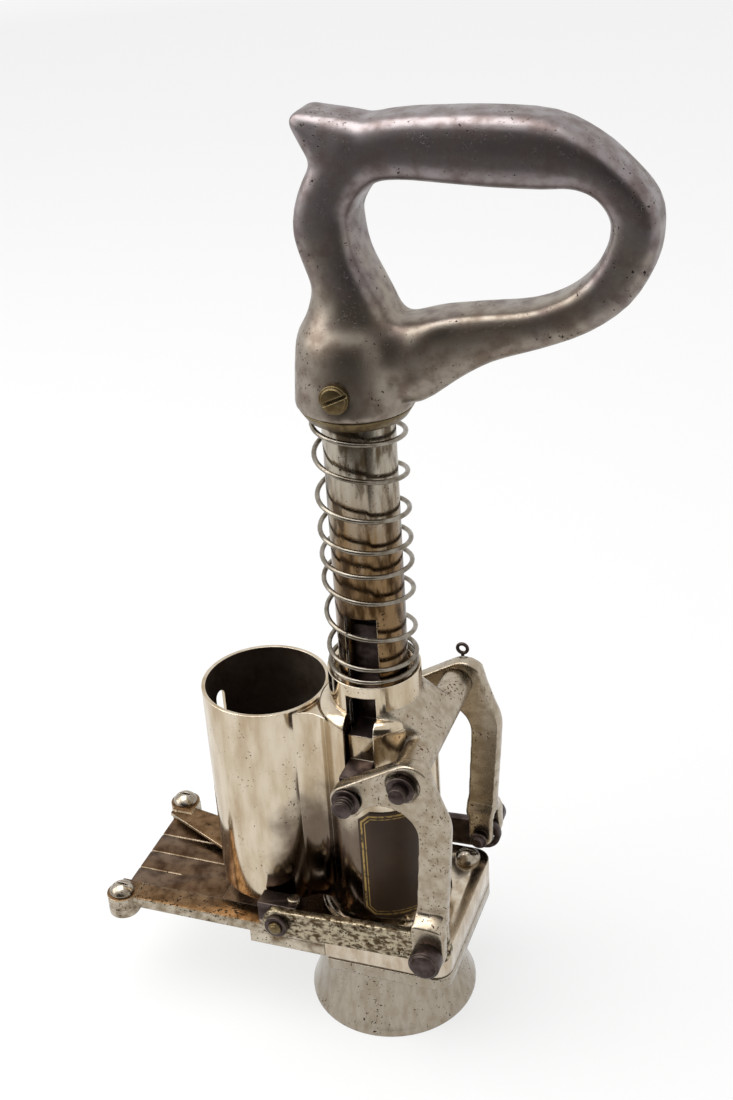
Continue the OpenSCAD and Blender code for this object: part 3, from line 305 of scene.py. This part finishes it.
def enamel_label():
    """Brown enamel with two gold lines along the plate's edge."""
    material, tree, shader = start_material("brown_enamel")
    place = add_node(tree, "ShaderNodeTexCoord").outputs["Object"]
    split = add_node(tree, "ShaderNodeSeparateXYZ", {}, {0: place})
    front = add_node(tree, "ShaderNodeMath", {"operation": "MULTIPLY", 1: -1.0}, {0: split.outputs["Y"]})
    angle = add_node(tree, "ShaderNodeMath", {"operation": "ARCTAN2"},
                     {0: split.outputs["X"], 1: front.outputs[0]})
    turned = add_node(tree, "ShaderNodeMath", {"operation": "SUBTRACT", 1: label_facing}, {0: angle.outputs[0]})
    away = add_node(tree, "ShaderNodeMath", {"operation": "ABSOLUTE"}, {0: turned.outputs[0]})
    across = add_node(tree, "ShaderNodeMath", {"operation": "MULTIPLY_ADD", 1: label_radius, 2: -label_half_arc},
                      {0: away.outputs[0]})
    rise = add_node(tree, "ShaderNodeMath", {"operation": "SUBTRACT", 1: label_mid_z}, {0: split.outputs["Z"]})
    tall = add_node(tree, "ShaderNodeMath", {"operation": "ABSOLUTE"}, {0: rise.outputs[0]})
    above = add_node(tree, "ShaderNodeMath", {"operation": "SUBTRACT", 1: label_half_z}, {0: tall.outputs[0]})
    corner = add_node(tree, "ShaderNodeMath", {"operation": "ADD"}, {0: across.outputs[0], 1: above.outputs[0]})
    cut = add_node(tree, "ShaderNodeMath", {"operation": "MULTIPLY_ADD", 1: diagonal, 2: diagonal * label_corner},
                   {0: corner.outputs[0]})
    side = add_node(tree, "ShaderNodeMath", {"operation": "MAXIMUM"}, {0: across.outputs[0], 1: above.outputs[0]})
    out = add_node(tree, "ShaderNodeMath", {"operation": "MAXIMUM"}, {0: side.outputs[0], 1: cut.outputs[0]})
    wide = add_node(tree, "ShaderNodeMath", {"operation": "COMPARE", 1: -outer_line, 2: outer_half},
                    {0: out.outputs[0]})
    thin = add_node(tree, "ShaderNodeMath", {"operation": "COMPARE", 1: -inner_line, 2: inner_half},
                    {0: out.outputs[0]})
    lines = add_node(tree, "ShaderNodeMath", {"operation": "MAXIMUM"}, {0: wide.outputs[0], 1: thin.outputs[0]})
    wear = add_node(tree, "ShaderNodeTexNoise", {"Scale": 1 / (1.6 * mm), "Detail": 4.0}, {"Vector": place})
    kept = add_node(tree, "ShaderNodeMapRange", {"From Min": 0.32, "From Max": 0.48},
                    {"Value": wear.outputs["Fac"]})
    gold = add_node(tree, "ShaderNodeMath", {"operation": "MULTIPLY"},
                    {0: lines.outputs[0], 1: kept.outputs["Result"]})
    fade = add_node(tree, "ShaderNodeTexNoise", {"Scale": 1 / (9 * mm), "Detail": 4.0}, {"Vector": place})
    brown = add_node(tree, "ShaderNodeMix", {"data_type": "RGBA", 6: linear("#2a1f16"), 7: linear("#443223")},
                     {0: fade.outputs["Fac"]})
    colour = add_node(tree, "ShaderNodeMix", {"data_type": "RGBA", 7: linear("#9c8148")},
                      {0: gold.outputs[0], 6: brown.outputs[2]})
    tree.links.new(colour.outputs[2], shader.inputs["Base Color"])
    shader.inputs["Roughness"].default_value = 0.5
    shader.inputs["Specular IOR Level"].default_value = 0.25
    return material


finish["label"] = enamel_label()
print("label lines run", round(2 * label_half_arc / mm, 1), "by", round(2 * label_half_z / mm, 1), "mm")

# %% [markdown]
# ## Copies that stand for the CAD nodes
# Each CAD node is copied and its loose triangles are merged. The copy is shaped further and takes the
# node's place in the picture, while the node keeps its place in the physics.

# %% Copy a node
bodies = {node: body for body, members in frame["record"]["behaviour"]["bodies"].items() for node in members}


def select_only(piece):
    """Makes this object the only selected one and the active one."""
    bpy.ops.object.select_all(action="DESELECT")
    piece.select_set(True)
    bpy.context.view_layer.objects.active = piece


merge_mm = 0.002


def merge_points():
    """Joins the points of the active mesh that lie on each other."""
    bpy.ops.object.mode_set(mode="EDIT")
    bpy.ops.mesh.select_all(action="SELECT")
    bpy.ops.mesh.remove_doubles(threshold=merge_mm * mm)
    bpy.ops.object.mode_set(mode="OBJECT")


def merged_copy(node, name):
    """A copy of a CAD node as one clean mesh."""
    select_only(nodes[node])
    bpy.ops.object.duplicate()
    piece = bpy.context.view_layer.objects.active
    piece.name = name
    for key in list(piece.keys()):
        del piece[key]
    merge_points()
    if piece.data.has_custom_normals:
        bpy.ops.mesh.customdata_custom_splitnormals_clear()
    return piece


def stand_in(piece, node, material):
    """Lets a finished piece stand for its CAD node, with this material."""
    piece.data.materials.clear()
    piece.data.materials.append(material)
    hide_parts(node)
    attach(piece, bodies[node])

# %% [markdown]
# ## Machined pieces
# A machined corner is never knife sharp, and a sharp one shows no highlight. Flat areas of the copy are
# dissolved to single faces, and a small bevel rounds the edges.

# %% Round the edges of the machined pieces
flat_angle, bevel_angle, smooth_angle = (math.radians(a) for a in (0.5, 32, 35))


def rounded_copy(node, name, radius_mm, material):
    """A copy of a CAD node with bevelled edges."""
    piece = merged_copy(node, name)
    if radius_mm:
        bpy.ops.object.mode_set(mode="EDIT")
        bpy.ops.mesh.select_all(action="SELECT")
        bpy.ops.mesh.dissolve_limited(angle_limit=flat_angle)
        bpy.ops.object.mode_set(mode="OBJECT")
        bevel = piece.modifiers.new("rounded edge", "BEVEL")
        bevel.width = radius_mm * mm
        bevel.segments = 2
        bevel.limit_method = "ANGLE"
        bevel.angle_limit = bevel_angle
        bpy.ops.object.modifier_apply(modifier=bevel.name)
        merge_points()
    bpy.ops.object.shade_smooth_by_angle(angle=smooth_angle)
    stand_in(piece, node, material)
    return piece


# Each row is the node, the new piece, the radius of its edges in millimetres and its metal. A radius of 0 leaves the
# edges to the Bevel node of the metal, where small faces meet at the edge.
rounding = [
    ("base_block", "base_block_casting", 0.6, "block"), ("bell", "bell_casting", 0.5, "bell"),
    ("bed_plate", "bed_plate_strip", 0.35, "tray"), ("feed_slide", "feed_slide_plate", 0.3, "tray"),
    ("front_rail", "front_rail_bar", 0.5, "rail"), ("rear_rail", "rear_rail_bar", 0.5, "rail"),
    ("front_link", "front_link_bar", 0.5, "link"), ("rear_link", "rear_link_bar", 0.5, "dark"),
    ("front_slide_block", "front_block", 0.5, "dark"), ("rear_slide_block", "rear_block", 0.5, "dark"),
    ("crosshead", "crosshead_bar", 0.6, "dark"), ("crosshead_washers", "stud_washers", 0.2, "dark"),
    ("crosshead_studs", "crosshead_stud_pair", 0.2, "dark"), ("pivot_shaft", "pivot_shaft_rod", 0.2, "dark"),
    ("pivot_clip", "pivot_clip_ring", 0.15, "dark"), ("slide_nuts", "slide_nut_pair", 0.3, "dark"),
    ("front_link_pin", "front_pin", 0.4, "dark"), ("rear_link_pin", "rear_pin", 0.4, "dark"),
    ("slide_pins", "slide_pin_pair", 0.3, "brass"), ("slide_screws", "slide_screw_pair", 0.3, "dome"),
    ("handle_collar", "handle_collar_ring", 0.5, "brass"), ("handle_screw", "handle_screw_slotted", 0.3, "brass"),
    ("plunger_tube", "plunger_tube_slotted", 0.2, "tube"), ("body", "body_casting", 0, "nickel"),
    ("presser", "presser_pad", 0.4, "dark"), ("base_screws", "base_dome_screws", 0.2, "dome"),
    ("rail_screws", "rail_dome_screws", 0.2, "dome"), ("label_plate", "label_sheet", 0.1, "label"),
    ("pivot_cotter", "split_pin", 0, "dark"),
]
pieces = {}
for node, name, radius_mm, metal in rounding:
    pieces[node] = rounded_copy(node, name, radius_mm, finish[metal])
    print(name, len(pieces[node].data.polygons), "faces")

# %% [markdown]
# ## Second finishes on one piece
# The body is one casting, but its magazine is dull inside and its cross bar is matt. The crosshead is dark
# apart from the faces that shine in the barrel's slot. A face is picked by where its middle lies and which
# way it looks, and gets the second material of its piece.

# %% Paint faces by place
def paint_faces(piece, material, chosen):
    """Gives the faces that pass the test a second material, and counts them."""
    piece.data.materials.append(material)
    last = len(piece.data.materials) - 1
    picked = [face for face in piece.data.polygons if chosen(face.center / mm, face.normal)]
    for face in picked:
        face.material_index = last
    return len(picked)


# Places on the body in millimetres
magazine_x = -44.8
magazine_bore = 23.05
neck_mm = 17.3
crown_z = 137
crown_mm = barrel_mm - neck_mm
cross_bar_low, cross_bar_left = 112, 4
# The yoke covers the crown where x is more than this share of the distance from the axis.
yoke_share, yoke_low = 0.72, crown_z - 8
near_mm, off_neck_mm, off_bore_mm = 0.2, 0.3, 0.3
# The bright ends of the crosshead block lie outside this distance from the middle and above this height.
block_out, block_low, facing_out = 17, 124, 0.7


def in_magazine(middle, normal):
    """On the bore of the magazine, looking at its axis."""
    away = Vector((middle.x - magazine_x, middle.y, 0))
    return away.length < magazine_bore + off_bore_mm and away.dot(normal) < 0


def on_cross_bar(middle, normal):
    """Right of the neck and off the round surfaces of the barrel, its crown and the neck."""
    away = math.hypot(middle.x, middle.y)
    if middle.z < cross_bar_low or middle.x < cross_bar_left or away < neck_mm + off_neck_mm:
        return False
    if middle.x > yoke_share * away and middle.z > yoke_low:
        return True
    on_crown = abs(math.hypot(away - neck_mm, middle.z - crown_z) - crown_mm) < near_mm and middle.z > crown_z
    return not on_crown and abs(away - barrel_mm) > near_mm


def on_block_ends(middle, normal):
    """The two faces of the crosshead that look out of the barrel's slots."""
    return abs(middle.y) > block_out and middle.z > block_low and abs(normal.y) > facing_out


print("dull inside", paint_faces(pieces["body"], finish["bore"], in_magazine),
      "matt bar", paint_faces(pieces["body"], finish["bar"], on_cross_bar),
      "bright block", paint_faces(pieces["crosshead"], finish["nickel"], on_block_ends))

# %% [markdown]
# ## Castings
# The grip and the levers are sand castings, with no sharp edge anywhere. The CAD nodes join their parts with
# sharp meeting lines. A voxel remesh wraps a whole node in one even skin, and smoothing then rounds every
# meeting line into a fillet. The grip could also be modelled with a subdivision surface, but then the socket,
# the loop and the horn would have to share one cage.

# %% Skin and smooth the castings
def smooth_points(casting, title, steps, group="", sideways=True):
    """Relaxes the points of a casting, all of them or one group, and across its plate or only in its plane."""
    flow = casting.modifiers.new(title, "SMOOTH")
    flow.factor = 0.5
    flow.iterations = steps
    flow.vertex_group = group
    flow.use_y = sideways
    bpy.ops.object.modifier_apply(modifier=flow.name)


def cast_copy(node, name, voxel_mm, steps, material):
    """A copy of a CAD node as one smooth skin."""
    casting = merged_copy(node, name)
    skin = casting.modifiers.new("one skin", "REMESH")
    skin.mode = "VOXEL"
    skin.voxel_size = voxel_mm * mm
    bpy.ops.object.modifier_apply(modifier=skin.name)
    smooth_points(casting, "fillets", steps)
    bpy.ops.object.shade_smooth()
    stand_in(casting, node, material)
    return casting


grip_voxel_mm, grip_steps = 0.9, 5
grip = cast_copy("handle", "grip_casting", grip_voxel_mm, grip_steps, finish["handle"])
print(grip.name, len(grip.data.polygons), "faces")

# %% [markdown]
# ## The levers' outline
# A lever is a flat plate with a flowing outline. Relaxing its points only in the plane of the plate rounds
# the outline and leaves the faces flat. The outer bow, from beside the pivot to above the foot, is relaxed
# much longer, because there the solid's outline bends where the real one flows.

# %% Cast the two levers
lever_voxel_mm, lever_steps = 0.5, 8
outline_steps, bow_steps = 40, 300
bow_left, bow_low, bow_high = 30.5, 66, 136


def on_outer_bow(place):
    """True along the lever's outer edge, from beside the pivot to above the foot."""
    return place.x > bow_left and bow_low < place.z < bow_high


for node, name in [("front_lever", "front_lever_casting"), ("rear_lever", "rear_lever_casting")]:
    casting = cast_copy(node, name, lever_voxel_mm, lever_steps, finish["lever"])
    smooth_points(casting, "flowing outline", outline_steps, sideways=False)
    bow = casting.vertex_groups.new(name="outer bow")
    bow.add([point.index for point in casting.data.vertices if on_outer_bow(point.co / mm)], 1.0, "REPLACE")
    smooth_points(casting, "rounder bow", bow_steps, bow.name, sideways=False)
    print(name, len(casting.data.polygons), "faces")

# %% [markdown]
# ## Flat flanks and melted meetings on the grip
# The real grip is flat along its front and back, with a soft ridge where the flank turns over. The loop is
# cut into sectors round the middle of the finger gap, and each sector knows how wide it is. A point part of
# the way out is pushed toward that width, which flattens the flanks without making the grip any wider. Then
# only the points near the neck and the horn are relaxed once more, so those meetings melt into the loop.

# %% Shape the grip
socket_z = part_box("handle_collar")[1].z
gap_middle = Vector((45 * mm, 0, socket_z + 62 * mm))
sectors = 48
flank_power = 0.72
# The flanks flatten from the first to the second mark: out from the socket's axis, and up from its face.
flat_out = (19, 28)
flat_up = (36, 46)
# The neck relaxes between these heights and this far out, the horn above this height and left of this mark.
neck_low, neck_high, neck_out = (13, 19), (44, 62), (22, 44)
horn_low, horn_out, horn_share = (70, 80), (10, 22), 0.25
meeting_steps = 140


def ease(value, low, high):
    """Zero below low, one above high, smooth between."""
    share = min(max((value - low) / (high - low), 0), 1)
    return share * share * (3 - 2 * share)


def sector_of(point):
    """Which sector round the finger gap a point lies in, as a number with a fraction."""
    return (math.atan2(point.z - gap_middle.z, point.x - gap_middle.x) / (2 * math.pi) + 0.5) * sectors


def flatten_flanks(piece):
    """Pushes the points of the loop out toward the width of their sector."""
    widths = [0.0] * sectors
    for point in piece.data.vertices:
        i = int(sector_of(point.co)) % sectors
        widths[i] = max(widths[i], abs(point.co.y))
    for point in piece.data.vertices:
        turn = sector_of(point.co) - 0.5
        i, t = math.floor(turn), turn - math.floor(turn)
        width = widths[i % sectors] * (1 - t) + widths[(i + 1) % sectors] * t
        share = min(abs(point.co.y) / width, 1)
        if share > 0:
            free = max(ease(point.co.x / mm, *flat_out), ease((point.co.z - socket_z) / mm, *flat_up))
            point.co.y *= 1 + free * (share ** flank_power / share - 1)


def meeting_weight(place):
    """How far a point may relax: fully round the neck above the socket, a little where the horn starts."""
    rise, out = (place.z - socket_z) / mm, place.x / mm
    neck = ease(rise, *neck_low) * (1 - ease(rise, *neck_high)) * (1 - ease(out, *neck_out))
    horn = horn_share * ease(rise, *horn_low) * (1 - ease(out, *horn_out))
    return max(neck, horn)


flatten_flanks(grip)
meetings = grip.vertex_groups.new(name="meetings")
for point in grip.data.vertices:
    meetings.add([point.index], meeting_weight(point.co), "REPLACE")
select_only(grip)
smooth_points(grip, "melted meetings", meeting_steps, meetings.name)
print(grip.name, len(grip.data.polygons), "faces, widest", round(grip.dimensions.y / mm, 1), "mm")

# %% [markdown]
# ## The spring
# The spring is one round wire, wound left-handed. A small circle of points, stood up at the coil's radius,
# is swept by a Screw modifier into a coil that climbs evenly. Each ring of points is then lifted to the
# height the wire has there, because the old coils are not evenly spaced. The plunger joint squeezes the
# finished wire toward its lower seat.

# %% Wind the spring wire
spring_low, spring_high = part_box("main_spring")
wire_radius = 0.9 * mm
coil_radius = (spring_high.x - spring_low.x) / 2 - wire_radius
coil_turns = 9
steps_per_turn = 40
wire_sides = 12
# Share of the height reached after each turn
coil_marks = [0, 0.027, 0.118, 0.278, 0.404, 0.495, 0.609, 0.747, 0.908, 1]


def coil_rise(share):
    """Share of the height that the wire has climbed, on a smooth curve through the coil marks."""
    last = len(coil_marks) - 1
    i = min(int(share * last), last - 1)
    t = share * last - i
    a, b, c, d = (coil_marks[min(max(k, 0), last)] for k in (i - 1, i, i + 1, i + 2))
    return 0.5 * (2 * b + (c - a) * t + (2 * a - 5 * b + 4 * c - d) * t ** 2 + (3 * b - a - 3 * c + d) * t ** 3)


def wind_spring():
    """The spring as one swept wire, lifted to its uneven pitch and closed at its ends."""
    bpy.ops.object.select_all(action="DESELECT")
    bpy.ops.mesh.primitive_circle_add(vertices=wire_sides, radius=wire_radius, location=(0, coil_radius, 0),
                                      rotation=(0, math.radians(90), 0))
    wire = bpy.context.view_layer.objects.active
    wire.name = "spring_wire"
    bpy.ops.object.transform_apply(location=True, rotation=True, scale=True)
    steps = steps_per_turn * coil_turns
    coil = wire.modifiers.new("coil", "SCREW")
    coil.angle = -2 * math.pi * coil_turns
    coil.screw_offset = 1.0
    coil.steps = coil.render_steps = steps
    bpy.ops.object.modifier_apply(modifier=coil.name)
    lowest = spring_low.z + wire_radius
    climb = spring_high.z - wire_radius - lowest
    for point in wire.data.vertices:
        share = round(point.co.z * steps) / steps
        point.co.z += lowest + climb * coil_rise(share) - share
    bpy.ops.object.mode_set(mode="EDIT")
    bpy.ops.mesh.select_all(action="SELECT")
    bpy.ops.mesh.fill_holes(sides=wire_sides)
    bpy.ops.mesh.normals_make_consistent(inside=False)
    bpy.ops.object.mode_set(mode="OBJECT")
    bpy.ops.object.shade_smooth_by_angle(angle=math.radians(40))
    stand_in(wire, "main_spring", finish["wire"])
    return wire


spring = wind_spring()
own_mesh(spring)

# %% [markdown]
# ## Floor, light and camera
# The photograph has a white table, soft light from above and a darker room in front of it. The floor is
# white where the camera and reflections see it, and still takes a faint shadow. Polished metal only looks
# like metal when it has something dark to reflect, so one dark cloth lies where the table ends in front and
# another hangs behind the camera.

# %% Floor and world
floor_white = 0.72
# The floor turns fully white before its edge, so that no horizon shows from a low view.
fade_start, fade_end = 2.2, 2.9


def any_seen_ray(tree):
    """One for rays that show the background: from the camera, mirrored or let through."""
    rays = add_node(tree, "ShaderNodeLightPath")
    seen = add_node(tree, "ShaderNodeMath", {"operation": "MAXIMUM"},
                    {0: rays.outputs["Is Camera Ray"], 1: rays.outputs["Is Glossy Ray"]})
    return add_node(tree, "ShaderNodeMath", {"operation": "MAXIMUM"},
                    {0: seen.outputs[0], 1: rays.outputs["Is Transmission Ray"]}).outputs[0]


def pale_floor():
    """A white floor that still takes a faint shadow."""
    bpy.ops.object.select_all(action="DESELECT")
    bpy.ops.mesh.primitive_plane_add(size=6.0, location=(0, 0, 0))
    floor = bpy.context.view_layer.objects.active
    floor.name = "floor"
    material, tree, shader = start_material("white_table")
    shader.inputs["Base Color"].default_value = linear("#f4f4f3")
    shader.inputs["Roughness"].default_value = 0.7
    place = add_node(tree, "ShaderNodeTexCoord").outputs["Object"]
    away = add_node(tree, "ShaderNodeVectorMath", {"operation": "LENGTH"}, {0: place})
    whiter = add_node(tree, "ShaderNodeMapRange", {"From Min": fade_start, "From Max": fade_end,
                      "To Min": floor_white}, {"Value": away.outputs["Value"]})
    share = add_node(tree, "ShaderNodeMath", {"operation": "MULTIPLY"},
                     {0: any_seen_ray(tree), 1: whiter.outputs["Result"]})
    glow = add_node(tree, "ShaderNodeEmission", {"Strength": 1.0})
    both = add_node(tree, "ShaderNodeMixShader", {}, {0: share.outputs[0], 1: shader.outputs["BSDF"],
                                                      2: glow.outputs["Emission"]})
    tree.links.new(both.outputs["Shader"], tree.nodes["Material Output"].inputs["Surface"])
    floor.data.materials.append(material)
    return floor


floor = pale_floor()
world = bpy.data.worlds.new("studio")
bpy.context.scene.world = world
world.use_nodes = True
sky = world.node_tree
sky.nodes.clear()
world_light, world_seen = 0.55, 1.0
level = add_node(sky, "ShaderNodeMapRange", {"To Min": world_light, "To Max": world_seen},
                 {"Value": any_seen_ray(sky)})
white = add_node(sky, "ShaderNodeBackground", {"Color": (1.0, 1.0, 1.0, 1.0)},
                 {"Strength": level.outputs["Result"]})
add_node(sky, "ShaderNodeOutputWorld", {}, {"Surface": white.outputs["Background"]})
print("floor at 0, world level", world_light, "for light and", world_seen, "where it is seen")

# %% Lamps and the dark cloths
tool_middle = Vector((0, 0, 0.17))


def soft_lamp(name, place, size, power):
    """A square lamp that looks at the middle of the tool."""
    bpy.ops.object.light_add(type="AREA", location=place)
    lamp = bpy.context.view_layer.objects.active
    lamp.name = name
    lamp.data.size = size
    lamp.data.energy = power
    aim = tool_middle - Vector(place)
    lamp.rotation_euler = aim.to_track_quat("-Z", "Y").to_euler()
    return lamp


def dark_cloth(name, place, wide, deep, tilt):
    """A dark cloth that only reflections see, flat on the floor or hung upright."""
    bpy.ops.object.select_all(action="DESELECT")
    bpy.ops.mesh.primitive_plane_add(size=1.0, location=place)
    cloth = bpy.context.view_layer.objects.active
    cloth.name = name
    cloth.scale = (wide, deep, 1)
    cloth.rotation_euler.x = math.radians(tilt)
    material, tree, shader = start_material(name + "_dark")
    shader.inputs["Base Color"].default_value = linear("#3b3632")
    shader.inputs["Roughness"].default_value = 1.0
    cloth.data.materials.append(material)
    cloth.visible_camera = False
    cloth.visible_shadow = False
    cloth.visible_diffuse = False
    return cloth


overhead = soft_lamp("overhead", (-0.35, -0.15, 1.25), 1.0, 11)
window = soft_lamp("window", (-1.1, -0.4, 0.75), 0.8, 6)
cloths = [dark_cloth("front_cloth", (0, -1.55, 0.002), 5.0, 2.0, 0),
          dark_cloth("room_cloth", (0.3, -1.6, 0.7), 2.4, 1.4, 90)]
print("lamps", overhead.name, window.name, "and", len(cloths), "dark cloths")

# %% [markdown]
# ## Camera
# The camera was found from points of the photograph: it stands in front, a little to the right and well
# above, close enough that the bell looks smaller than the grip. Its place, its three angles and its lens
# are all that is needed. Back, right and up are built from the angles and set as the camera's own axes.

# %% Camera at the photograph's angle
camera_place = Vector((177.8, -459.42, 475.9)) * mm
camera_yaw, camera_pitch, camera_roll = (math.radians(a) for a in (21.17, 29.04, -3.78))
focal_px = 1596.6
frame_height_px = 1100
sensor_mm = 36.0


def set_camera():
    """The camera at its place, with its axes built from the three angles."""
    back = Vector((math.sin(camera_yaw) * math.cos(camera_pitch), -math.cos(camera_yaw) * math.cos(camera_pitch),
                   math.sin(camera_pitch)))
    level_right = Vector((math.cos(camera_yaw), math.sin(camera_yaw), 0))
    level_up = back.cross(level_right)
    right = math.cos(camera_roll) * level_right + math.sin(camera_roll) * level_up
    up = math.cos(camera_roll) * level_up - math.sin(camera_roll) * level_right
    bpy.ops.object.camera_add()
    camera = bpy.context.view_layer.objects.active
    camera.data.sensor_fit = "VERTICAL"
    camera.data.sensor_height = sensor_mm
    camera.data.lens = focal_px / frame_height_px * sensor_mm
    turn = Matrix((right, up, back)).transposed().to_4x4()
    camera.matrix_world = Matrix.Translation(camera_place) @ turn
    bpy.context.scene.camera = camera
    return camera


camera = set_camera()
bpy.context.scene.view_settings.view_transform = "Standard"
print("lens", round(camera.data.lens, 2), "mm")
